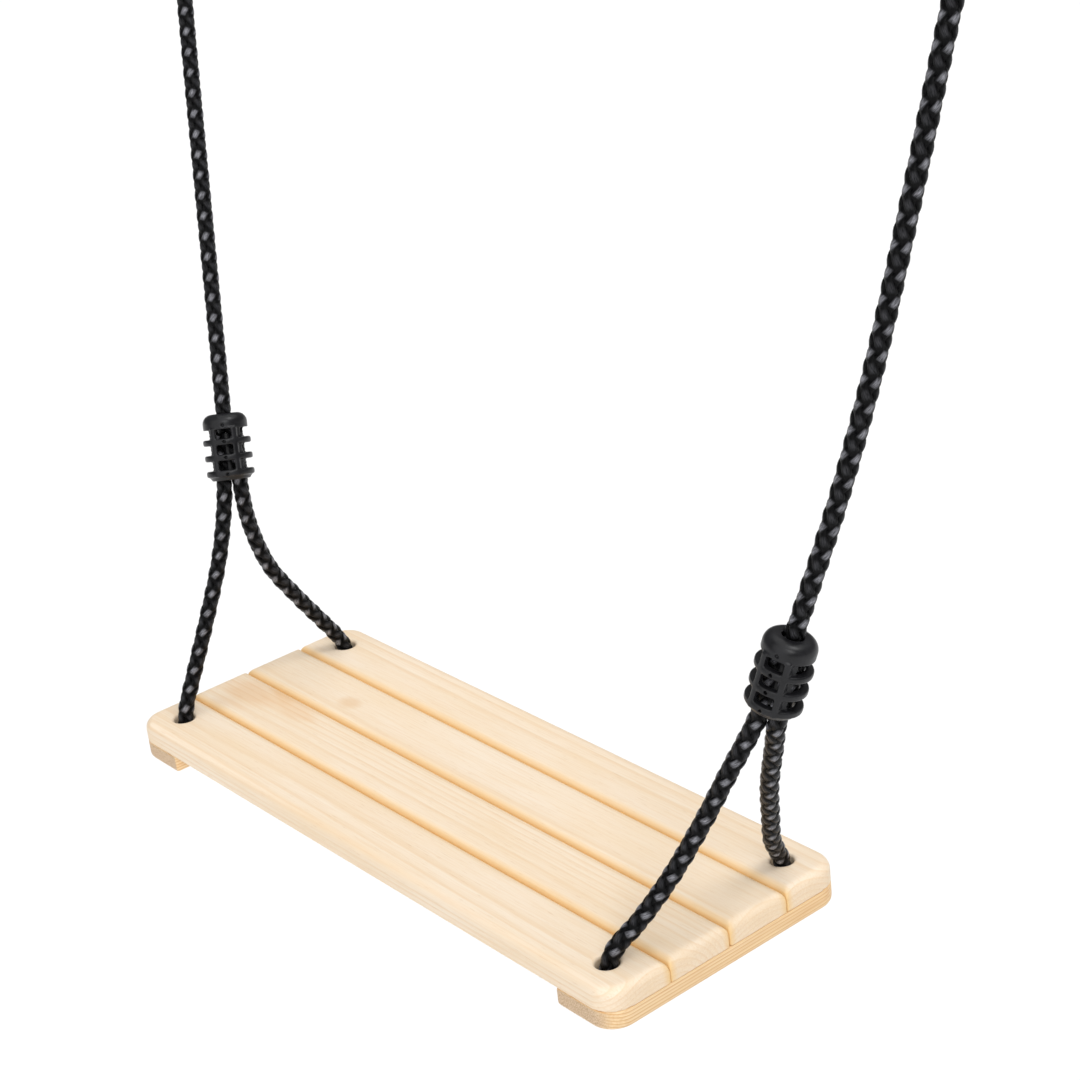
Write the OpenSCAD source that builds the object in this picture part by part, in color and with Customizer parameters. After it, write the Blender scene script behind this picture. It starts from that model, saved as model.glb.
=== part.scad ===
// Swing seat: a slatted wooden board hung from two braided ropes.
// Millimetres. +X along the board, +Z up. The origin is midway between the two
// hanging rings, where the hooks that carry them touch the rings from inside.

/* [Seat] */
// Length of the board, end to end
seat_length = 450; // [380:5:600]
// Number of slats side by side
slat_count = 4; // [4]
// Width of one slat
slat_width = 41.7; // [36:0.1:60]
// Gap between neighbouring slats
slat_gap = 0.3; // [0:0.1:3]
// Thickness of a slat
slat_thickness = 13; // [11:0.5:24]
// Rounding of a slat's long top edges
slat_edge_radius = 5; // [1:0.5:6]
// Rounding of the board's top edge, all round
board_edge_radius = 5.5; // [1:0.5:8]
// Rounding of the board's four corners, seen from above
corner_radius = 15; // [4:1:25]

/* [Battens] */
// Width of a cross batten
batten_width = 42; // [36:1:60]
// Thickness of a cross batten
batten_thickness = 12; // [10:0.5:20]
// Rounding of the bottom edge, all round the board
batten_edge_radius = 3.5; // [1:0.5:4]

/* [Rope holes] */
// Bore of the rope holes
hole_diameter = 13; // [11:0.5:16]
// Distance from a hole's centre to the end of the board
hole_inset = 24; // [20:1:32]
// Size of the chamfer at a hole's mouth
hole_chamfer = 1.2; // [0.5:0.1:2.5]

/* [Screws] */
// Shank diameter of the countersunk screws
screw_diameter = 3.5; // [3:0.5:4.5]
// Head diameter
screw_head_diameter = 7; // [6:0.5:8.5]
// Overall length, flush head to point
screw_length = 20; // [14:1:22]
// Radial clearance round the shank
screw_clearance = 0.05; // [0.02:0.01:0.1]
// Offset of a screw from the middle of its joint, along the board
screw_offset_x = 12; // [9:1:13]
// Offset of a screw from the middle of its joint, across the board
screw_offset_y = 11; // [9:1:13]

/* [Couplings] */
// Length of a moulded rope coupling
coupling_length = 41; // [38:1:60]
// Diameter over its rings
coupling_diameter = 29.4; // [27:0.2:36]
// Diameter of its domed cap
cap_diameter = 27.4; // [25:0.2:36]
// Diameter of the wall behind its windows
coupling_core_diameter = 23.6; // [23:0.2:27]
// Bore that holds two ropes side by side
coupling_bore = 20.4; // [20.2:0.1:22]
// Height of the domed cap
cap_height = 9.5; // [8:0.5:14]
// Height of the cup
cup_height = 6.2; // [5:0.1:12]
// Thickness of each of the two rings
band_thickness = 3.8; // [2.5:0.1:5]
// Rounding of a band's and the cup's rim
band_rounding = 1.1; // [0.3:0.1:1.2]
// Width of the flat ladder faces
ladder_width = 16; // [14:1:20]
// Distance of a ladder face from the axis
ladder_reach = 13.4; // [12.5:0.1:14.8]
// Width of a window in a ladder face
window_width = 10; // [8:0.5:12]
// Width of a window between the ladder faces
side_window_width = 13; // [9:0.5:14]
// Bore of the hole in the domed cap
cap_bore = 11.8; // [10.8:0.2:13]
// Diameter of the small moulding holes
pip_diameter = 2; // [1:0.5:3]

/* [Rope and rings] */
// Diameter of the rope
rope_diameter = 10; // [8:1:10]
// Wire diameter of a hanging ring
ring_wire = 8; // [6:1:10]
// Inside diameter of a hanging ring
ring_bore = 40; // [34:1:60]
// Inside diameter of a thimble
thimble_bore = 22; // [20:1:26]
// Wall of a thimble
thimble_wall = 1.75; // [1.5:0.25:2.5]

/* [Hidden] */
$fn = 96;
tiny = 0.01;

// Colours
pine = [0.95, 0.84, 0.66];
batten_pine = [0.90, 0.70, 0.44];
steel = [0.72, 0.73, 0.75];
black_plastic = [0.10, 0.10, 0.11];
black_rope = [0.05, 0.05, 0.055];

// The board
slat_pitch = slat_width + slat_gap;
seat_depth = slat_count * slat_width + (slat_count - 1) * slat_gap;
hole_x = seat_length / 2 - hole_inset;
hole_y = seat_depth / 2 - slat_width / 2;
batten_x = (seat_length - batten_width) / 2;
seat_bottom = slat_thickness + batten_thickness;
function slat_y(i) = (i - (slat_count - 1) / 2) * slat_pitch;

// The board hangs from the rings: its top centre in the part's frame
ring_radius = (ring_bore + ring_wire) / 2;
seat_at = [0, -118, -636];
ring_x = 335;

// Route points, in the board's frame. The ropes leave the couplings by two legs.
cup_left = [-198.9, -1.3, 142.1];
cup_right = [263.9, 4.8, 139.7];
axis_left = [-13, 10, 43];
axis_right = [11, 10, 45];
turn_left = 52;
turn_right = 17;
// How far a rope's end stands inside a coupling's cap
cap_entry = 4;
pivot_left = [-209.6, 6.7, 176.6];
pivot_right = [272.7, 12.7, 174.6];
top_left = [-304, 91, 490];
top_right = [325, 89, 486];
hang_left = [-ring_x, 118, 592];
hang_right = [ring_x, 118, 592];

seat_route_left = [[-210, 1, 168], [-201, -6, 139], [-200, -20, 92], [-200, -36, 57],
    [-201, -52, 23], [-201, -60, 6], [-201, -63, -8], [-201, -63, -22], [-201, -59, -32],
    [-201, -48, -36], [-201, 0, -36], [-201, 48, -36], [-201, 59, -32], [-201, 63, -22],
    [-201, 63, -8], [-201, 62, 0], [-201, 57, 10], [-200, 47, 25], [-199, 31, 49],
    [-198, 14, 78], [-196, 4, 112], [-195, 2, 139], [-204, 9, 168]];
seat_route_right = [[265.5, 9, 167], [258.5, 3, 137.5], [242, -8, 99], [231, -17, 72],
    [219, -31, 42], [210, -47, 20], [204, -58, 8], [202, -62, 0], [201, -63, -22],
    [201, -59, -32], [201, -48, -36], [201, 0, -36], [201, 48, -36],
    [201, 59, -32], [201, 63, -22], [202, 62, 0], [204, 58, 8], [212, 47, 24],
    [225, 35, 50], [240, 22, 80], [256, 12, 112], [267.5, 5, 134.5], [275, 12, 164]];
main_route_left = [pivot_left, [-219, 15, 207], [-246, 39, 298], [-273, 63, 388],
    [-295, 83, 460], top_left];
main_route_right = [pivot_right, [281, 20, 205], [293, 31, 252], [305, 43, 308],
    [315, 61, 382], [322, 77, 446], top_right];
// An eye's route: across the eye, and down from the ring's wire along the rope
eye_route = [[-5.1, 97], [-5.1, 67], [-11, 46], [-17, 24], [-18.5, 6], [-13.5, -7.5],
    [0, -13], [13.5, -7.5], [18.5, 6], [17, 24], [11, 46], [5.1, 67], [5.1, 97]];
// The thimble's centre lies this far below the ring's wire
thimble_drop = 6;
rope_sides = 10;

// Vector helpers
function unit(v) = v / norm(v);
function azimuth_of(v) = atan2(v[1], v[0]);
function incline_of(v) = acos(v[2] / norm(v));
function middle(route, i) = unit(route[min(i + 1, len(route) - 1)] - route[max(i - 1, 0)]);

// Turns a piece built along +Z to lie along v, standing at p, with its face at the angle a
module along(p, v, a = 0) {
    translate(p) rotate([0, incline_of(v), azimuth_of(v)]) rotate([0, 0, a - azimuth_of(v)])
        children();
}

module in_seat() {
    translate(seat_at) children();
}

// A tube of the rope's diameter with one ring of points at each point of its route
function ring_at(route, i, side) = let(
        t = middle(route, i),
        u = unit(cross(t, side)),
        w = cross(t, u))
    [for (k = [0:rope_sides - 1])
        let(a = 360 * k / rope_sides)
        route[i] + rope_diameter / 2 * (cos(a) * u + sin(a) * w)];

module rope(route, side = [1, 0, 0]) {
    n = len(route);
    s = rope_sides;
    points = [for (i = [0:n - 1]) each ring_at(route, i, side)];
    walls = [for (i = [0:n - 2], k = [0:s - 1])
        each [[i * s + k, (i + 1) * s + k, (i + 1) * s + (k + 1) % s],
            [i * s + k, (i + 1) * s + (k + 1) % s, i * s + (k + 1) % s]]];
    first = [for (k = [0:s - 1]) k];
    last = [for (k = [s - 1:-1:0]) (n - 1) * s + k];
    color(black_rope) polyhedron(points, concat(walls, [first, last]));
}

// A bar's section: w wide, h high with its top at 0, the top corners rounded by r
module top_rounded(w, h, r) {
    translate([-w / 2, -h]) square([w, h - r]);
    translate([-w / 2 + r, -r - tiny]) square([w - 2 * r, r + tiny]);
    for (x = [-1, 1])
        translate([x * (w / 2 - r), -r]) circle(r);
}

// A disc with a rounded rim, standing on its base
module rimmed_disc(radius, height, rounding) {
    rotate_extrude() {
        square([radius - rounding, height]);
        translate([0, rounding]) square([radius, height - 2 * rounding]);
        for (z = [rounding, height - rounding]) translate([radius - rounding, z]) circle(rounding);
    }
}

module domed_disc(radius, height, dome) {
    rotate_extrude() {
        square([radius, height - dome]);
        square([radius - dome, height]);
        intersection() {
            translate([radius - dome, height - dome]) circle(dome);
            square([radius + 1, height + 1]);
        }
    }
}

// The whole board's outline, its top edge rounded by r all round, with its top at 0
module routed_board(thickness, r) {
    translate([-(seat_length / 2 - corner_radius), 0, 0]) rotate([90, 0, 90])
        linear_extrude(seat_length - 2 * corner_radius) top_rounded(seat_depth, thickness, r);
    translate([0, seat_depth / 2 - corner_radius, 0]) rotate([90, 0, 0])
        linear_extrude(seat_depth - 2 * corner_radius) top_rounded(seat_length, thickness, r);
    for (x = [-1, 1], y = [-1, 1])
        translate([x * (seat_length / 2 - corner_radius), y * (seat_depth / 2 - corner_radius), -thickness])
            domed_disc(corner_radius, thickness, r);
}

module rope_holes(depth) {
    for (x = [-1, 1], y = [-1, 1])
        translate([x * hole_x, y * hole_y, -depth - 1]) cylinder(d = hole_diameter, h = depth + 2);
}

module screw_places(side) {
    for (i = [0:slat_count - 1], k = [-1, 1])
        translate([side * (batten_x + k * screw_offset_x), slat_y(i) + k * screw_offset_y, -seat_bottom])
            children();
}

// A countersunk screw, head at the bottom, pointing up
module screw_body(extra) {
    head_height = (screw_head_diameter - screw_diameter) / 2;
    point_height = screw_diameter;
    cylinder(d1 = screw_head_diameter + 2 * extra, d2 = screw_diameter + 2 * extra, h = head_height);
    translate([0, 0, head_height - tiny])
        cylinder(d = screw_diameter + 2 * extra, h = screw_length - head_height - point_height + 2 * tiny);
    translate([0, 0, screw_length - point_height])
        cylinder(d1 = screw_diameter + 2 * extra, d2 = 0.8 + 2 * extra, h = point_height);
}

module slat(i) {
    color(pine) in_seat() difference() {
        intersection() {
            translate([0, slat_y(i), 0]) rotate([90, 0, 90])
                translate([0, 0, -seat_length / 2]) linear_extrude(seat_length)
                    top_rounded(slat_width, slat_thickness, slat_edge_radius);
            union() routed_board(slat_thickness, board_edge_radius);
        }
        if (i == 0 || i == slat_count - 1) {
            rope_holes(slat_thickness);
            for (x = [-1, 1], y = [-1, 1])
                translate([x * hole_x, y * hole_y, -hole_chamfer])
                    cylinder(d1 = hole_diameter, d2 = hole_diameter + 2 * hole_chamfer + 2, h = hole_chamfer + 1);
        }
        for (side = [-1, 1])
            screw_places(side) screw_body(screw_clearance);
    }
}

module batten(side) {
    color(batten_pine) in_seat() difference() {
        intersection() {
            translate([side * batten_x, seat_depth / 2, -seat_bottom]) rotate([90, 0, 0])
                mirror([0, 1, 0]) linear_extrude(seat_depth)
                    top_rounded(batten_width, batten_thickness, batten_edge_radius);
            translate([0, 0, -seat_bottom]) rotate([180, 0, 0])
                union() routed_board(batten_thickness, batten_edge_radius);
        }
        rope_holes(seat_bottom);
        for (y = [-1, 1])
            translate([side * hole_x, y * hole_y, -seat_bottom - 1])
                cylinder(d1 = hole_diameter + 4 * hole_chamfer + 2, d2 = hole_diameter, h = 2 * hole_chamfer + 1);
        screw_places(side) screw_body(screw_clearance);
    }
}

// The cross recess is sunk in the head, which lies flush with the batten
module screws(side) {
    slot_width = 1;
    slot_depth = 1.2;
    color(steel) in_seat() screw_places(side) difference() {
        screw_body(0);
        for (a = [0, 90])
            rotate([0, 0, a]) translate([0, 0, slot_depth / 2 - tiny])
                cube([screw_head_diameter * 0.55, slot_width, slot_depth + tiny], center = true);
    }
}

// Moulded coupling: cup, two bands and a domed cap, joined by four rails that leave windows
window_height = (coupling_length - cap_height - cup_height - 2 * band_thickness) / 3;
function window_z(i) = cup_height + i * (window_height + band_thickness);

module coupling_body() {
    r = coupling_diameter / 2;
    cup_taper = cup_height - band_thickness;
    cap_z = coupling_length - cap_height;
    wall_top = cap_z - 1.5;
    color(black_plastic) difference() {
        union() {
            translate([0, 0, cap_z]) domed_disc(cap_diameter / 2, cap_height, cap_height * 0.62);
            for (i = [0:2])
                translate([0, 0, window_z(i) - band_thickness])
                    rimmed_disc(r, band_thickness, band_rounding);
            cylinder(d = coupling_core_diameter, h = cap_z + 1);
            cylinder(r1 = r - 3.2, r2 = r - 0.9, h = cup_taper + 0.8);
            intersection() {
                translate([0, 0, cup_taper]) cylinder(r = r, h = cap_z + 1 - cup_taper);
                translate([-ladder_width / 2, -ladder_reach, cup_taper])
                    cube([ladder_width, 2 * ladder_reach, cap_z + 1 - cup_taper]);
            }
        }
        translate([0, 0, -1]) cylinder(d = coupling_bore, h = wall_top + 1);
        cylinder(d = cap_bore, h = coupling_length + 1);
        translate([0, 0, coupling_length - 1]) cylinder(d1 = cap_bore, d2 = cap_bore + 4, h = 2);
        for (i = [0:2]) translate([0, 0, window_z(i)]) {
            translate([-window_width / 2, -r - 1, 0]) cube([window_width, 2 * r + 2, window_height]);
            translate([-r - 1, -side_window_width / 2, 0]) cube([2 * r + 2, side_window_width, window_height]);
        }
        for (z = [cup_height * 0.6, window_z(1) - band_thickness / 2, window_z(2) - band_thickness / 2, cap_z + 2.4], y = [-1, 1])
            translate([0, y * (r + 1), z]) rotate([y * 90, 0, 0]) cylinder(d = pip_diameter, h = 3.5);
    }
}

// A lower coupling stands on its cup, above the two legs
module lower_coupling(cup, axis, turn) {
    in_seat() along(cup, axis, turn) coupling_body();
}

// An upper coupling hangs cap down, with the eye's two ends in its cup
module upper_coupling(top, hang, turn) {
    up = unit(hang - top);
    in_seat() along(top + (coupling_length - cap_entry) * up, -up, turn) coupling_body();
}

// The eye lies in the plane of the rope and the swing: a is across it, up is along the rope
module eye_rope(top, hang) {
    up = unit(hang - top);
    axle = unit([1, 0, 0] - up[0] * up);
    across = cross(up, axle);
    in_seat() rope([for (p = eye_route) hang + p[0] * across - p[1] * up], axle);
}

module thimble(top, hang) {
    up = unit(hang - top);
    axle = unit([1, 0, 0] - up[0] * up);
    rope_radius = thimble_bore / 2 + thimble_wall + rope_diameter / 2 + 0.25;
    lip = rope_diameter / 2 + 0.25 + thimble_wall - 0.5;
    color(steel) in_seat() translate(hang - thimble_drop * up)
        rotate([0, incline_of(axle), azimuth_of(axle)]) rotate_extrude() difference() {
            translate([thimble_bore / 2 + lip, 0]) circle(lip);
            translate([rope_radius, 0]) circle(rope_diameter / 2 + 0.25);
            translate([rope_radius + 0.5, -lip - 1]) square([2 * lip, 2 * lip + 2]);
        }
}

module ring(hang) {
    color(steel) in_seat() translate(hang + [0, 0, ring_radius]) rotate([90, 0, 0])
        rotate_extrude() translate([ring_radius, 0]) circle(d = ring_wire);
}

slat(0);  // slat_front
slat(1);  // slat_front_middle
slat(2);  // slat_rear_middle
slat(3);  // slat_rear
batten(-1);  // batten_left
batten(1);  // batten_right
screws(-1);  // screws_left
screws(1);  // screws_right
lower_coupling(cup_left, axis_left, turn_left);  // coupling_left
lower_coupling(cup_right, axis_right, turn_right);  // coupling_right
in_seat() rope(seat_route_left);  // seat_rope_left
in_seat() rope(seat_route_right);  // seat_rope_right
in_seat() rope(main_route_left);  // main_rope_left
in_seat() rope(main_route_right);  // main_rope_right
upper_coupling(top_left, hang_left, turn_left);  // upper_coupling_left
upper_coupling(top_right, hang_right, turn_right);  // upper_coupling_right
eye_rope(top_left, hang_left);  // eye_rope_left
eye_rope(top_right, hang_right);  // eye_rope_right
thimble(top_left, hang_left);  // thimble_left
thimble(top_right, hang_right);  // thimble_right
ring(hang_left);  // ring_left
ring(hang_right);  // ring_right
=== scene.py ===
import bpy
import bmesh
import math
from mathutils import Matrix, Vector


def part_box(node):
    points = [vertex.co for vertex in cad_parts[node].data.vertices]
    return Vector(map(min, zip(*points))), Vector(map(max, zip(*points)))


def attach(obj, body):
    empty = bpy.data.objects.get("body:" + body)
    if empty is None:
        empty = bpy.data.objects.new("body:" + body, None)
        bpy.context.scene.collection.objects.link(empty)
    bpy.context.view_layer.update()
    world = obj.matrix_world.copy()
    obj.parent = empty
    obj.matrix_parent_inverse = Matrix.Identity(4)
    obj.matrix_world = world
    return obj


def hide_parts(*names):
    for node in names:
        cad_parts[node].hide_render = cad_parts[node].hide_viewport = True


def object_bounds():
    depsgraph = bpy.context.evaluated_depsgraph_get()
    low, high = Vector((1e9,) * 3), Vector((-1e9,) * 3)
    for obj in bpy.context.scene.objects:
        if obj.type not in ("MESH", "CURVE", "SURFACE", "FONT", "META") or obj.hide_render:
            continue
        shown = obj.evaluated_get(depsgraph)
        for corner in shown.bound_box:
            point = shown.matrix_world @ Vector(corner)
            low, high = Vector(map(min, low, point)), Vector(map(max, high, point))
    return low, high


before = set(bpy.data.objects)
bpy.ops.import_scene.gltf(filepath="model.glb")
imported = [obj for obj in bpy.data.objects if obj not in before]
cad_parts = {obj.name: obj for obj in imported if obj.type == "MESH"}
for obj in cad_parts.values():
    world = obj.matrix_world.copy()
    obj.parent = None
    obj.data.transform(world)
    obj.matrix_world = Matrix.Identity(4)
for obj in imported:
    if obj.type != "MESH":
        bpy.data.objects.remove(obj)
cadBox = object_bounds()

scene = bpy.context.scene
print("frame loaded:", len(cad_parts), "nodes")

# The board's top centre in the frame. Routes below are in the board's own frame.
boardTop = Vector((0.0, -0.118, -0.636))


# Camera
camera = {
    "place": (1.004, -0.689, 0.698),
    "azimuth": 52.57,
    "elevation": 24.33,
    "roll": -6.63,
    "lens": 79.8,
    "sensor": 36.0,
}


def addCamera(values):
    a = math.radians(values["azimuth"])
    e = math.radians(values["elevation"])
    r = math.radians(values["roll"])
    back = Vector((math.sin(a) * math.cos(e), -math.cos(a) * math.cos(e), math.sin(e)))
    right = Vector((math.cos(a), math.sin(a), 0.0))
    up = back.cross(right)
    rolledRight = right * math.cos(r) + up * math.sin(r)
    rolledUp = up * math.cos(r) - right * math.sin(r)
    turn = Matrix((rolledRight, rolledUp, back)).transposed().to_4x4()
    data = bpy.data.cameras.new("camera")
    data.lens = values["lens"]
    data.sensor_width = values["sensor"]
    data.clip_end = 50.0
    obj = bpy.data.objects.new("camera", data)
    obj.matrix_world = Matrix.Translation(Vector(values["place"]) + boardTop) @ turn
    scene.collection.objects.link(obj)
    scene.camera = obj


addCamera(camera)
print("camera placed")


# Node helpers
def srgb(r, g, b):
    def line(c):
        c /= 255.0
        return c / 12.92 if c <= 0.04045 else ((c + 0.055) / 1.055) ** 2.4
    return (line(r), line(g), line(b), 1.0)


class Tree:
    # A short way to add nodes and link them in one call
    def __init__(self, tree):
        self.tree = tree

    def add(self, kind, settings=None, **inputs):
        node = self.tree.nodes.new(kind)
        for key, value in (settings or {}).items():
            setattr(node, key, value)
        for key, value in inputs.items():
            numbered = key[0] == "i" and key[1:].isdigit()
            self.put(node.inputs[int(key[1:]) if numbered else key], value)
        return node

    def put(self, socket, value):
        if isinstance(value, bpy.types.NodeSocket):
            self.tree.links.new(value, socket)
        elif isinstance(value, bpy.types.Node):
            self.tree.links.new(value.outputs[0], socket)
        else:
            socket.default_value = value

    def math(self, operation, a, b=0.0):
        return self.add("ShaderNodeMath", {"operation": operation}, i0=a, i1=b).outputs[0]

    def vector(self, operation, a, b=(0.0, 0.0, 0.0), scale=None):
        node = self.add("ShaderNodeVectorMath", {"operation": operation}, i0=a, i1=b)
        if scale is not None:
            self.put(node.inputs["Scale"], scale)
        return node.outputs[1] if operation in ("LENGTH", "DOT_PRODUCT") else node.outputs[0]

    def ramp(self, value, stops):
        node = self.add("ShaderNodeValToRGB", Fac=value)
        points = node.color_ramp.elements
        while len(points) < len(stops):
            points.new(0.5)
        for point, (place, colour) in zip(points, stops):
            point.position = place
            point.color = colour if len(colour) == 4 else (*colour, 1.0)
        return node.outputs[0]

    def mix(self, factor, a, b):
        node = self.tree.nodes.new("ShaderNodeMix")
        node.data_type = "RGBA"
        self.put(node.inputs[0], factor)
        self.put(node.inputs[6], a)
        self.put(node.inputs[7], b)
        return node.outputs[2]

    def noise(self, vector, scale, detail=2.0, roughness=0.5):
        node = self.add("ShaderNodeTexNoise", Vector=vector, Scale=scale, Detail=detail, Roughness=roughness)
        return node.outputs[0]

    def spread(self, value, low, high, newLow=0.0, newHigh=1.0):
        node = self.add("ShaderNodeMapRange", Value=value)
        for key, number in zip(("From Min", "From Max", "To Min", "To Max"), (low, high, newLow, newHigh)):
            node.inputs[key].default_value = number
        return node.outputs[0]

    def attribute(self, name, output="Fac"):
        return self.add("ShaderNodeAttribute", {"attribute_name": name}).outputs[output]

    def bump(self, shader, height, strength, distance):
        node = self.add("ShaderNodeBump", Height=height)
        node.inputs["Strength"].default_value = strength
        node.inputs["Distance"].default_value = distance
        self.put(shader.inputs["Normal"], node)


def newMaterial(name):
    material = bpy.data.materials.new(name)
    material.use_nodes = True
    tree = material.node_tree
    shader = tree.nodes["Principled BSDF"]
    return material, Tree(tree), shader


# Rope
rope = {
    "diameter": 0.010,
    "strandsEachWay": 4,
    "pitch": 0.050,
    "layRadius": 0.0031,
    "weave": 0.00055,
    "strandWide": 0.00245,
    "strandThick": 0.00152,
    "strandSides": 14,
    "step": 0.0013,
    # Share of the painted highlight that the second lay of strands keeps
    "secondLayHighlight": 0.15,
    "fibreRun": 40.0,
    "tones": [(0.3, srgb(4, 4, 5)), (0.58, srgb(9, 9, 10)), (0.78, srgb(26, 26, 28))],
    # Colour of the painted highlight on the strands' ridges
    "paintedHighlight": srgb(158, 158, 165),
}

# Routes through the board's holes and the couplings, in millimetres
seatRouteLeft = [(-210, 1, 168), (-205.5, -2.5, 153), (-201, -6, 139), (-200, -12, 116), (-200, -20, 92),
                 (-200, -36, 57), (-201, -52, 23), (-201, -60, 6), (-201, -63, -8), (-201, -63, -22),
                 (-201, -59, -32), (-201, -48, -36), (-201, -16, -36), (-201, 16, -36), (-201, 48, -36),
                 (-201, 59, -32), (-201, 63, -22), (-201, 63, -8), (-201, 62, 0), (-201, 57, 10),
                 (-200, 47, 25), (-199, 31, 49), (-198, 14, 78), (-196, 4, 112), (-195, 2, 139),
                 (-199.5, 5.5, 153), (-204, 9, 168)]
seatRouteRight = [(265.5, 9, 167), (262, 6, 153), (258.5, 3, 137.5), (242, -8, 99), (231, -17, 72),
                  (219, -31, 42), (210, -47, 20), (204, -58, 8), (202, -62, 0), (201, -63, -22),
                  (201, -59, -32), (201, -48, -36), (201, -16, -36), (201, 16, -36), (201, 48, -36),
                  (201, 59, -32), (201, 63, -22), (202, 62, 0), (204, 58, 8), (212, 47, 24),
                  (225, 35, 50), (240, 22, 80), (256, 12, 112), (267.5, 5, 134.5), (271, 8, 149),
                  (275, 12, 164)]
mainRouteLeft = [(-207.3, 5.0, 169.1), (-209.6, 6.7, 176.6), (-219, 15, 207), (-246, 39, 298),
                 (-273, 63, 388), (-295, 83, 460), (-304, 91, 490)]
mainRouteRight = [(270.8, 11.0, 167.0), (272.7, 12.7, 174.6), (281, 20, 205), (293, 31, 252),
                  (305, 43, 308), (315, 61, 382), (322, 77, 446), (325, 89, 486)]
# Across the eye, and down from the ring's wire along the rope
eyeRoute = [(-5.1, 97), (-5.1, 82), (-5.1, 67), (-11, 46), (-17, 24), (-18.5, 6), (-13.5, -7.5), (0, -13),
            (13.5, -7.5), (18.5, 6), (17, 24), (11, 46), (5.1, 67), (5.1, 82), (5.1, 97)]
hangLeft = Vector((-335, 118, 592))
hangRight = Vector((335, 118, 592))


def inFrame(points):
    return [Vector(p) / 1000.0 + boardTop for p in points]


def eyePoints(top, hang):
    up = (hang - Vector(top)).normalized()
    axle = (Vector((1, 0, 0)) - up * up.x).normalized()
    across = up.cross(axle)
    return [hang + across * a - up * d for a, d in eyeRoute]


def smoothLine(points, step):
    # A centripetal spline through the points, then evenly spaced points along it
    p = [points[0] * 2 - points[1]] + list(points) + [points[-1] * 2 - points[-2]]
    fine = []
    for i in range(1, len(p) - 2):
        knots = [0.0]
        for k in range(3):
            knots.append(knots[-1] + max((p[i + k] - p[i + k - 1]).length, 1e-9) ** 0.5)
        t0, t1, t2, t3 = knots
        for k in range(40):
            t = t1 + (t2 - t1) * k / 40
            a1 = p[i - 1] * ((t1 - t) / (t1 - t0)) + p[i] * ((t - t0) / (t1 - t0))
            a2 = p[i] * ((t2 - t) / (t2 - t1)) + p[i + 1] * ((t - t1) / (t2 - t1))
            a3 = p[i + 1] * ((t3 - t) / (t3 - t2)) + p[i + 2] * ((t - t2) / (t3 - t2))
            b1 = a1 * ((t2 - t) / (t2 - t0)) + a2 * ((t - t0) / (t2 - t0))
            b2 = a2 * ((t3 - t) / (t3 - t1)) + a3 * ((t - t1) / (t3 - t1))
            fine.append(b1 * ((t2 - t) / (t2 - t1)) + b2 * ((t - t1) / (t2 - t1)))
    fine.append(p[-2].copy())
    lengths = [0.0]
    for a, b in zip(fine, fine[1:]):
        lengths.append(lengths[-1] + (b - a).length)
    count = max(2, round(lengths[-1] / step))
    even = []
    j = 0
    for i in range(count + 1):
        s = lengths[-1] * i / count
        while j < len(fine) - 2 and lengths[j + 1] < s:
            j += 1
        span = max(lengths[j + 1] - lengths[j], 1e-12)
        even.append(fine[j].lerp(fine[j + 1], min(1.0, (s - lengths[j]) / span)))
    return even, lengths[-1]


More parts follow.
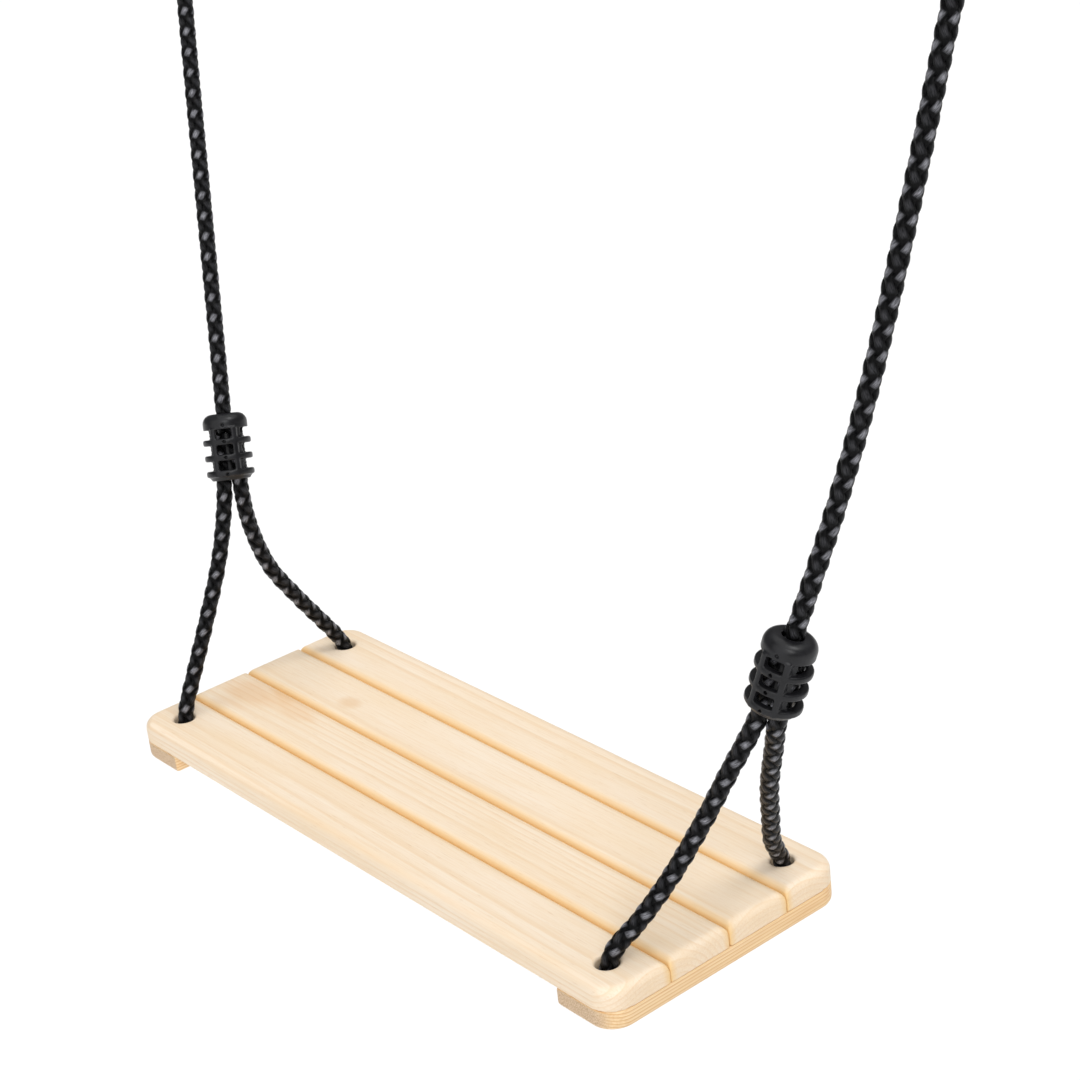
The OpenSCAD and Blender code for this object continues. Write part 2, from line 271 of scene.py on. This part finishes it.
def braidTree(material):
    # Strands wind both ways round the centreline and take turns to lie outside
    tree = bpy.data.node_groups.new("braid", "GeometryNodeTree")
    face = tree.interface
    face.new_socket("Geometry", in_out="INPUT", socket_type="NodeSocketGeometry")
    for label in ("Pitch", "Lay radius", "Weave", "Strand half width", "Strand half height"):
        face.new_socket(label, in_out="INPUT", socket_type="NodeSocketFloat")
    face.new_socket("Strands each way", in_out="INPUT", socket_type="NodeSocketInt")
    face.new_socket("Geometry", in_out="OUTPUT", socket_type="NodeSocketGeometry")
    t = Tree(tree)
    inn = tree.nodes.new("NodeGroupInput").outputs
    out = tree.nodes.new("NodeGroupOutput").inputs

    def keep(geometry, label, kind, value):
        settings = {"data_type": kind, "domain": "POINT"}
        node = t.add("GeometryNodeStoreNamedAttribute", settings, Geometry=geometry)
        node.inputs["Name"].default_value = label
        t.put(node.inputs["Value"], value)
        return node

    def kept(label, kind):
        node = t.add("GeometryNodeInputNamedAttribute", {"data_type": kind})
        node.inputs["Name"].default_value = label
        return node.outputs["Attribute"]

    along = t.add("GeometryNodeSplineParameter").outputs["Length"]
    line = keep(inn["Geometry"], "run", "FLOAT", along)
    turn = t.math("DIVIDE", t.math("MULTIPLY", kept("run", "FLOAT"), 2 * math.pi), inn["Pitch"])
    weave = t.math("COSINE", t.math("MULTIPLY", turn, inn["Strands each way"]))
    normal = t.add("GeometryNodeInputNormal").outputs[0]
    tangent = t.add("GeometryNodeInputTangent").outputs[0]
    side = t.vector("CROSS_PRODUCT", tangent, normal)
    circle = t.add("GeometryNodeCurvePrimitiveCircle", Resolution=rope["strandSides"])
    circle.inputs["Radius"].default_value = 1.0
    profile = keep(circle, "around", "FLOAT_VECTOR", t.add("GeometryNodeInputPosition").outputs[0])
    flat = t.add("GeometryNodeTransform", Geometry=profile)
    shape = t.add("ShaderNodeCombineXYZ", X=inn["Strand half height"], Y=inn["Strand half width"], Z=1.0)
    t.put(flat.inputs["Scale"], shape)
    join = t.add("GeometryNodeJoinGeometry")
    for way in (1.0, -1.0):
        many = t.add("GeometryNodeDuplicateElements", {"domain": "SPLINE"}, Geometry=line,
                     Amount=inn["Strands each way"])
        index = many.outputs["Duplicate Index"]
        share = t.math("DIVIDE", t.math("MULTIPLY", index, 2 * math.pi), inn["Strands each way"])
        angle = t.math("ADD", t.math("MULTIPLY", turn, way), share)
        outward = t.vector("ADD", t.vector("SCALE", normal, scale=t.math("COSINE", angle)),
                           t.vector("SCALE", side, scale=t.math("SINE", angle)))
        crest = t.math("MULTIPLY", weave, way)
        facing = keep(many, "outward", "FLOAT_VECTOR", outward)
        raised = keep(facing, "crest", "FLOAT", crest)
        offset = t.math("MULTIPLY", t.math("ADD", index, 1.5 + way), 0.37)
        # How much of the painted highlight each lay of strands carries
        paintedHighlightShare = keep(raised, "paintedHighlightShare", "FLOAT", 1.0 if way > 0 else rope["secondLayHighlight"])
        spun = keep(paintedHighlightShare, "along", "FLOAT", t.math("ADD", kept("run", "FLOAT"), offset))
        reach = t.math("ADD", inn["Lay radius"], t.math("MULTIPLY", kept("crest", "FLOAT"), inn["Weave"]))
        shift = t.vector("SCALE", kept("outward", "FLOAT_VECTOR"), scale=reach)
        moved = t.add("GeometryNodeSetPosition", Geometry=spun, Offset=shift)
        turned = t.add("GeometryNodeSetCurveNormal", {"mode": "FREE"}, Curve=moved)
        t.put(turned.inputs["Normal"], kept("outward", "FLOAT_VECTOR"))
        tube = t.add("GeometryNodeCurveToMesh", Curve=turned, i1=flat)
        tube.inputs["Fill Caps"].default_value = True
        tree.links.new(tube.outputs[0], join.inputs[0])
    whole = t.add("GeometryNodeRealizeInstances", Geometry=join)
    painted = t.add("GeometryNodeSetMaterial", Geometry=whole)
    painted.inputs["Material"].default_value = material
    smooth = t.add("GeometryNodeSetShadeSmooth", Geometry=painted)
    tree.links.new(smooth.outputs[0], out[0])
    return tree


def ropeMaterial():
    # Drawn filaments run along each strand, with a fine relief
    material, t, shader = newMaterial("ropeBlack")
    around = t.attribute("around", "Vector")
    along = t.attribute("along")
    crest = t.attribute("crest")
    run = t.add("ShaderNodeCombineXYZ", Z=t.math("MULTIPLY", along, rope["fibreRun"]))
    fibre = t.vector("ADD", around, run)
    lines = t.noise(fibre, 5.0, 2.0, 0.65)
    glints = t.noise(fibre, 11.0, 1.0, 0.5)
    tone = t.ramp(lines, rope["tones"])
    # Painted highlight: one lay of strands is paler, and only along its ridge where it crosses outside
    apart = t.add("ShaderNodeSeparateXYZ", Vector=around)
    ridge = t.spread(apart.outputs[0], 0.55, 0.98)
    paintedHighlightShare = t.attribute("paintedHighlightShare")
    paintedHighlightMask = t.math("MULTIPLY", t.math("MULTIPLY", t.spread(crest, 0.25, 0.95), ridge), paintedHighlightShare)
    paintedHighlight = t.math("MULTIPLY", paintedHighlightMask, t.spread(glints, 0.36, 0.62, 0.15, 1.0))
    t.put(shader.inputs["Base Color"], t.mix(paintedHighlight, tone, rope["paintedHighlight"]))
    t.put(shader.inputs["Roughness"], t.spread(lines, 0.3, 0.7, 0.34, 0.24))
    shader.inputs["Specular IOR Level"].default_value = 0.09
    t.bump(shader, lines, 0.7, 0.0004)
    return material


ropeBlack = ropeMaterial()
braid = braidTree(ropeBlack)


def plainMesh(obj, name):
    depsgraph = bpy.context.evaluated_depsgraph_get()
    mesh = bpy.data.meshes.new_from_object(obj.evaluated_get(depsgraph), depsgraph=depsgraph)
    mesh.name = name
    made = bpy.data.objects.new(name, mesh)
    scene.collection.objects.link(made)
    bpy.data.objects.remove(obj)
    return made


def braidedRope(name, points):
    line, length = smoothLine(points, rope["step"])
    curve = bpy.data.curves.new(name + "Line", "CURVE")
    curve.dimensions = "3D"
    curve.twist_mode = "MINIMUM"
    spline = curve.splines.new("POLY")
    spline.points.add(len(line) - 1)
    for point, place in zip(spline.points, line):
        point.co = (*place, 1.0)
    guide = bpy.data.objects.new(name + "Line", curve)
    scene.collection.objects.link(guide)
    modifier = guide.modifiers.new("braid", "NODES")
    modifier.node_group = braid
    wanted = {"Pitch": rope["pitch"], "Lay radius": rope["layRadius"], "Weave": rope["weave"],
              "Strand half width": rope["strandWide"], "Strand half height": rope["strandThick"],
              "Strands each way": rope["strandsEachWay"]}
    for item in braid.interface.items_tree:
        if item.name in wanted and item.in_out == "INPUT":
            modifier[item.identifier] = wanted[item.name]
    made = plainMesh(guide, name)
    return made, line[::3] + [line[-1]], length


def hangingRope(name, points, body, node):
    made, path, length = braidedRope(name, points)
    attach(made, body)
    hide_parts(node)
    print(name, "is", round(length, 3), "m long,", len(made.data.polygons), "faces")
    return made


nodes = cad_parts
hangingRope("eyeRopeLeft", inFrame(eyePoints(mainRouteLeft[-1], hangLeft)), "hangers", "eye_rope_left")
hangingRope("eyeRopeRight", inFrame(eyePoints(mainRouteRight[-1], hangRight)), "hangers", "eye_rope_right")


# Moulded couplings
coupling = {
    "voxel": 0.00046,
    "softening": 4,
    "length": 0.041,
    "lipRadius": 0.0066,
    "lipTube": 0.0012,
    "coreRadius": 0.0038,
    "coreFrom": 0.003,
    "coreLength": 0.026,
}
# How far an upper coupling's foot is past the rope's end, in millimetres
upperRise = 37
# Foot and axis of each coupling in the board's frame, in millimetres
couplingStands = {
    "coupling_left": ((-198.9, -1.3, 142.1), (-13, 10, 43)),
    "coupling_right": ((263.9, 4.8, 139.7), (11, 10, 45)),
}
for node, top, hang in (("upper_coupling_left", mainRouteLeft[-1], hangLeft),
                        ("upper_coupling_right", mainRouteRight[-1], hangRight)):
    up = (hang - Vector(top)).normalized()
    couplingStands[node] = (tuple(Vector(top) + up * upperRise), tuple(-up))


def plasticMaterial():
    material, t, shader = newMaterial("mouldedBlack")
    place = t.add("ShaderNodeTexCoord").outputs["Object"]
    fine = t.noise(place, 2600.0, 2.0)
    wide = t.noise(place, 140.0, 3.0)
    t.put(shader.inputs["Base Color"], t.ramp(wide, [(0.3, srgb(22, 22, 24)), (0.7, srgb(32, 32, 35))]))
    t.put(shader.inputs["Roughness"], t.spread(wide, 0.3, 0.7, 0.28, 0.4))
    shader.inputs["Specular IOR Level"].default_value = 0.3
    t.bump(shader, fine, 0.12, 0.0001)
    return material


mouldedBlack = plasticMaterial()


def mergedCopy(node, name):
    mesh = nodes[node].data.copy()
    mesh.transform(nodes[node].matrix_world)
    work = bmesh.new()
    work.from_mesh(mesh)
    bmesh.ops.remove_doubles(work, verts=work.verts, dist=0.000002)
    work.to_mesh(mesh)
    work.free()
    mesh.materials.clear()
    made = bpy.data.objects.new(name, mesh)
    scene.collection.objects.link(made)
    return made


def addTorus(work, radius, tube, matrix, around=64, across=16):
    rows = []
    for i in range(around):
        a = 2 * math.pi * i / around
        row = []
        for k in range(across):
            b = 2 * math.pi * k / across
            reach = radius + tube * math.cos(b)
            place = Vector((reach * math.cos(a), reach * math.sin(a), tube * math.sin(b)))
            row.append(work.verts.new(matrix @ place))
        rows.append(row)
    for i in range(around):
        for k in range(across):
            i2, k2 = (i + 1) % around, (k + 1) % across
            work.faces.new((rows[i][k], rows[i2][k], rows[i2][k2], rows[i][k2]))


def addLipAndCore(mesh, stand, values):
    # A moulded lip closes on the rope at the cap, and a web fills the space between the legs
    base, axis = stand
    turn = Vector(axis).to_track_quat("Z", "Y").to_matrix().to_4x4()
    place = Matrix.Translation(Vector(base) / 1000.0 + boardTop) @ turn
    work = bmesh.new()
    work.from_mesh(mesh)
    lip = Matrix.Translation((0.0, 0.0, values["length"] - values["lipTube"] * 0.9))
    addTorus(work, values["lipRadius"], values["lipTube"], place @ lip)
    core = Matrix.Translation((0.0, 0.0, values["coreFrom"] + values["coreLength"] / 2))
    bmesh.ops.create_cone(work, cap_ends=True, segments=24, radius1=values["coreRadius"],
                          radius2=values["coreRadius"], depth=values["coreLength"], matrix=place @ core)
    work.to_mesh(mesh)
    work.free()


def softened(made, name, voxel, softening, material):
    # A fine skin over the exact shape, smoothed so that its edges turn softly
    remesh = made.modifiers.new("skin", "REMESH")
    remesh.mode = "VOXEL"
    remesh.voxel_size = voxel
    smooth = made.modifiers.new("soft", "SMOOTH")
    smooth.iterations = softening
    smooth.factor = 0.5
    done = plainMesh(made, name)
    done.data.materials.clear()
    done.data.materials.append(material)
    for polygon in done.data.polygons:
        polygon.use_smooth = True
    return done


def mouldedCoupling(node, name, body):
    raw = mergedCopy(node, name + "Raw")
    addLipAndCore(raw.data, couplingStands[node], coupling)
    made = softened(raw, name, coupling["voxel"], coupling["softening"], mouldedBlack)
    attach(made, body)
    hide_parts(node)
    print(name, len(made.data.polygons), "faces")
    return made


mouldedCoupling("coupling_left", "couplingLeft", "seat")
mouldedCoupling("coupling_right", "couplingRight", "seat")
upperLeft = mouldedCoupling("upper_coupling_left", "upperCouplingLeft", "hangers")
upperRight = mouldedCoupling("upper_coupling_right", "upperCouplingRight", "hangers")

hangingRope("mainRopeLeft", inFrame(mainRouteLeft[::-1]), "rope_left", "main_rope_left")
hangingRope("mainRopeRight", inFrame(mainRouteRight[::-1]), "rope_right", "main_rope_right")
hangingRope("seatRopeLeft", inFrame(seatRouteLeft), "seat", "seat_rope_left")
hangingRope("seatRopeRight", inFrame(seatRouteRight), "seat", "seat_rope_right")


# Wood
def woodMaterial(name, wood):
    # Growth rings round a pith line that runs along the board, seen as grain on the faces
    material, t, shader = newMaterial(name)
    place = t.add("ShaderNodeTexCoord").outputs["Object"]
    local = t.add("ShaderNodeMapping", Vector=place)
    local.inputs["Location"].default_value = tuple(-c for c in wood["centre"])
    if "turn" in wood:
        local = t.add("ShaderNodeMapping", Vector=local)
        local.inputs["Rotation"].default_value = (0.0, 0.0, wood["turn"])
    local = local.outputs[0]

    def drawn(share):
        # The place squeezed along the grain, shifted so that no two pieces match
        return t.vector("ADD", t.vector("MULTIPLY", local, (share, 1.0, 1.0)), wood["seed"])

    wander = t.add("ShaderNodeTexNoise", Vector=drawn(0.10), Scale=wood["wanderScale"], Detail=2.0)
    offset = t.vector("SUBTRACT", wander.outputs["Color"], (0.5, 0.5, 0.5))
    bend = t.vector("SCALE", offset, scale=wood["wander"])
    bent = t.vector("ADD", t.vector("MULTIPLY", local, (wood["taper"], 1.0, 1.0)), bend)
    away = t.vector("LENGTH", t.vector("SUBTRACT", bent, (0.0, *wood["pith"])))
    rings = t.math("FRACT", t.math("MULTIPLY", away, 1.0 / wood["ringWidth"]))
    late = t.ramp(rings, [(at, (tone, tone, tone)) for at, tone in wood["ringTones"]])
    fibre = t.noise(drawn(0.03), 900.0, 3.0, 0.6)
    broad = t.noise(drawn(0.25), 38.0, 3.0, 0.55)
    pores = t.noise(drawn(0.06), 1900.0, 1.0, 0.5)
    colour = t.mix(t.math("MULTIPLY", late, wood["contrast"]), wood["early"], wood["late"])
    colour = t.mix(t.spread(broad, 0.38, 0.68, 0.0, wood["mottle"]), colour, wood["warm"])
    colour = t.mix(t.spread(fibre, 0.45, 0.74, 0.0, 0.42), colour, wood["late"])
    colour = t.mix(t.spread(pores, 0.66, 0.8, 0.0, 0.35), colour, wood["pore"])
    # Cut ends are darker and speckled
    ends = t.spread(t.attribute("cutEnd"), 0.7, 0.98, 0.0, wood["endDark"])
    speckle = t.spread(t.noise(local, 1500.0, 2.0, 0.6), 0.35, 0.65)
    colour = t.mix(ends, colour, t.mix(speckle, wood["endPale"], wood["endDeep"]))
    for spot in wood.get("spots", ()):
        off = t.vector("MULTIPLY", t.vector("SUBTRACT", local, spot["at"]), spot["squeeze"])
        torn = t.math("MULTIPLY", t.math("SUBTRACT", broad, 0.5), spot["ragged"])
        ragged = t.math("ADD", t.vector("LENGTH", off), torn)
        mask = t.spread(ragged, spot["radius"], spot["radius"] * 0.35, 0.0, spot["strength"])
        colour = t.mix(mask, colour, spot["colour"])
    # Painted shade: a darker, warmer tone in the grooves beside a neighbouring slat
    grooveShadeMask = t.attribute("paintedGrooveShade")
    colour = t.mix(t.math("MULTIPLY", grooveShadeMask, wood["grooveShadeStrength"]), colour, wood["paintedGrooveShade"])
    t.put(shader.inputs["Base Color"], colour)
    t.put(shader.inputs["Roughness"], t.spread(fibre, 0.3, 0.7, wood["rough"], wood["rough"] + 0.12))
    shader.inputs["Specular IOR Level"].default_value = 0.35
    height = t.math("ADD", t.math("MULTIPLY", fibre, 0.7), t.math("MULTIPLY", late, 0.3))
    t.bump(shader, height, 0.25, 0.00025)
    return material


paleWood = {
    "wanderScale": 9.0,
    "wander": 0.010,
    "ringTones": [(0.0, 0.0), (0.55, 0.25), (0.86, 1.0), (1.0, 0.0)],
    "grooveShadeReach": 0.0048,
    "taper": 0.012,
    "ringWidth": 0.0030,
    "early": srgb(247, 230, 208),
    "late": srgb(234, 202, 160),
    "warm": srgb(243, 219, 186),
    "pore": srgb(206, 164, 112),
    "endAxis": (1.0, 0.0, 0.0),
    "endDark": 0.25,
    "endPale": srgb(240, 212, 172),
    "endDeep": srgb(212, 170, 122),
    "contrast": 0.55,
    "mottle": 0.6,
    # Colour and strength of the painted shade in the grooves between slats
    "paintedGrooveShade": srgb(240, 200, 134),
    "grooveShadeStrength": 0.9,
    "rough": 0.46,
}


def nodeMiddle(node):
    low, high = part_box(node)
    return tuple((low[k] + high[k]) / 2 for k in range(3))


board = {
    "voxel": 0.0009,
    "softening": 3,
}
slats = {
    "slat_front": {
        "name": "slatFront", "grooves": ("rear",), "pith": (0.010, -0.045), "seed": (1.3, 0.2, 0.7),
        "ringWidth": 0.0026},
    "slat_front_middle": {
        "name": "slatFrontMiddle", "grooves": ("front", "rear"), "pith": (-0.02, -0.020),
        "seed": (4.1, 2.6, 0.1), "ringWidth": 0.0034,
        "spots": [
            {"at": (-0.190, 0.002, 0.006), "squeeze": (0.45, 1.0, 1.0), "radius": 0.015, "ragged": 0.05,
             "strength": 0.34, "colour": srgb(228, 172, 104)},
            {"at": (-0.155, 0.008, 0.006), "squeeze": (0.4, 1.0, 1.0), "radius": 0.012, "ragged": 0.05,
             "strength": 0.3, "colour": srgb(230, 176, 110)},
        ]},
    "slat_rear_middle": {
        "name": "slatRearMiddle", "grooves": ("front", "rear"), "pith": (0.006, -0.060),
        "seed": (7.7, 5.2, 3.3), "ringWidth": 0.0030,
        "spots": [
            {"at": (-0.132, -0.004, 0.006), "squeeze": (0.7, 1.0, 1.0), "radius": 0.008, "ragged": 0.01,
             "strength": 0.45, "colour": srgb(226, 184, 132)},
        ]},
    "slat_rear": {
        "name": "slatRear", "grooves": ("front",), "pith": (-0.012, -0.035), "seed": (2.9, 8.4, 6.1),
        "ringWidth": 0.0032},
}


def markGrooveShade(obj, low, high, reach, sides):
    # How near each point is to a neighbouring slat, for the painted shade in the grooves between slats
    data = obj.data.attributes.new("paintedGrooveShade", "FLOAT", "POINT")
    for i, vertex in enumerate(obj.data.vertices):
        insets = [reach]
        if "front" in sides:
            insets.append(vertex.co.y - low[1])
        if "rear" in sides:
            insets.append(high[1] - vertex.co.y)
        data.data[i].value = max(0.0, 1.0 - min(insets) / reach)


def markEnds(obj, axis):
    # How squarely the surface faces along the grain, for the cut ends
    data = obj.data.attributes.new("cutEnd", "FLOAT", "POINT")
    for i, vertex in enumerate(obj.data.vertices):
        data.data[i].value = abs(vertex.normal.dot(Vector(axis)))


def woodPiece(node, facts, kind):
    low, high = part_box(node)
    wood = {**kind, **facts, "centre": nodeMiddle(node)}
    name = wood["name"]
    material = woodMaterial(name + "Pine", wood)
    raw = mergedCopy(node, name + "Raw")
    made = softened(raw, name, board["voxel"], board["softening"], material)
    markGrooveShade(made, low, high, wood["grooveShadeReach"], wood.get("grooves", ()))
    markEnds(made, wood["endAxis"])
    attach(made, "seat")
    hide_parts(node)
    print(name, len(made.data.polygons), "faces")


for node, facts in slats.items():
    woodPiece(node, facts, paleWood)

battens = {
    "batten_left": {"name": "battenLeft", "seed": (3.1, 1.1, 9.2)},
    "batten_right": {"name": "battenRight", "seed": (5.6, 7.3, 2.4)},
}
battenWood = {
    **paleWood,
    "early": srgb(246, 218, 174),
    "late": srgb(208, 150, 88),
    "warm": srgb(234, 190, 132),
    "paintedGrooveShade": srgb(220, 168, 108),
    "endAxis": (0.0, 1.0, 0.0),
    "endDark": 1.0,
    "endPale": srgb(226, 200, 168),
    "endDeep": srgb(186, 152, 116),
    "pith": (0.0, -0.09),
    "ringWidth": 0.0019,
    "wander": 0.006,
    "contrast": 0.75,
    "mottle": 0.5,
    "grooveShadeStrength": 0.3,
    "grooveShadeReach": 0.003,
    "turn": math.radians(90),
}
for node, facts in battens.items():
    woodPiece(node, facts, battenWood)


# Steel
def steelMaterial(name, tint, rough):
    material, t, shader = newMaterial(name)
    place = t.add("ShaderNodeTexCoord").outputs["Object"]
    cloud = t.noise(place, 220.0, 4.0, 0.6)
    t.put(shader.inputs["Base Color"], t.ramp(cloud, [(0.3, tuple(c * 0.8 for c in tint[:3])), (0.7, tint)]))
    t.put(shader.inputs["Roughness"], t.spread(cloud, 0.3, 0.7, rough, rough + 0.14))
    shader.inputs["Metallic"].default_value = 1.0
    t.bump(shader, t.noise(place, 900.0, 2.0), 0.1, 0.0001)
    return material


ringSteel = steelMaterial("ringSteel", srgb(206, 208, 212), 0.24)
screwZinc = steelMaterial("screwZinc", srgb(214, 212, 204), 0.3)
steel = {
    "ring_left": ("ringLeft", ringSteel, "rings", "ring_steel"),
    "ring_right": ("ringRight", ringSteel, "rings", "ring_steel"),
    "thimble_left": ("thimbleLeft", ringSteel, "hangers", "ring_steel"),
    "thimble_right": ("thimbleRight", ringSteel, "hangers", "ring_steel"),
    "screws_left": ("screwsLeft", screwZinc, "seat", "zinc_screw"),
    "screws_right": ("screwsRight", screwZinc, "seat", "zinc_screw"),
}
for node, (name, material, body, slot) in steel.items():
    made = mergedCopy(node, name)
    made.data.set_sharp_from_angle(angle=math.radians(32))
    for polygon in made.data.polygons:
        polygon.use_smooth = True
    made.data.materials.append(material)
    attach(made, body)
    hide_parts(node)
print("steel done")


# Floor and light
studio = {
    "floorDrop": 1.4,
    "floorSize": 60.0,
    "world": 0.16,
    "lamps": {
        "key": {"from": (0.9, 0.5, 1.9), "strength": 0.75, "angle": 24.0},
        "softKey": {"from": (0.1, 0.5, 1.9), "strength": 1.3, "angle": 75.0},
        "fill": {"from": (0.9, -0.45, 0.8), "strength": 0.75, "angle": 24.0},
        "softFill": {"from": (0.3, -1.1, 0.7), "strength": 1.15, "angle": 75.0},
    },
}


def addStudio(values):
    height = cadBox[0][2] - values["floorDrop"]
    bpy.ops.mesh.primitive_plane_add(size=values["floorSize"], location=(0.0, 0.0, height))
    floor = bpy.context.object
    floor.name = "floor"
    material, t, shader = newMaterial("paleFloor")
    shader.inputs["Base Color"].default_value = (0.95, 0.95, 0.95, 1.0)
    shader.inputs["Roughness"].default_value = 0.95
    shader.inputs["Specular IOR Level"].default_value = 0.1
    floor.data.materials.append(material)
    world = bpy.data.worlds.new("studio")
    world.use_nodes = True
    world.node_tree.nodes["Background"].inputs[0].default_value = (1.0, 1.0, 1.0, 1.0)
    world.node_tree.nodes["Background"].inputs[1].default_value = values["world"]
    scene.world = world
    for name, facts in values["lamps"].items():
        lamp = bpy.data.lights.new(name, "SUN")
        lamp.angle = math.radians(facts["angle"])
        lamp.energy = facts["strength"]
        obj = bpy.data.objects.new(name, lamp)
        obj.location = boardTop + Vector(facts["from"])
        obj.rotation_euler = (-Vector(facts["from"])).to_track_quat("-Z", "Y").to_euler()
        scene.collection.objects.link(obj)
    scene.view_settings.view_transform = "Standard"


addStudio(studio)
print("studio done")
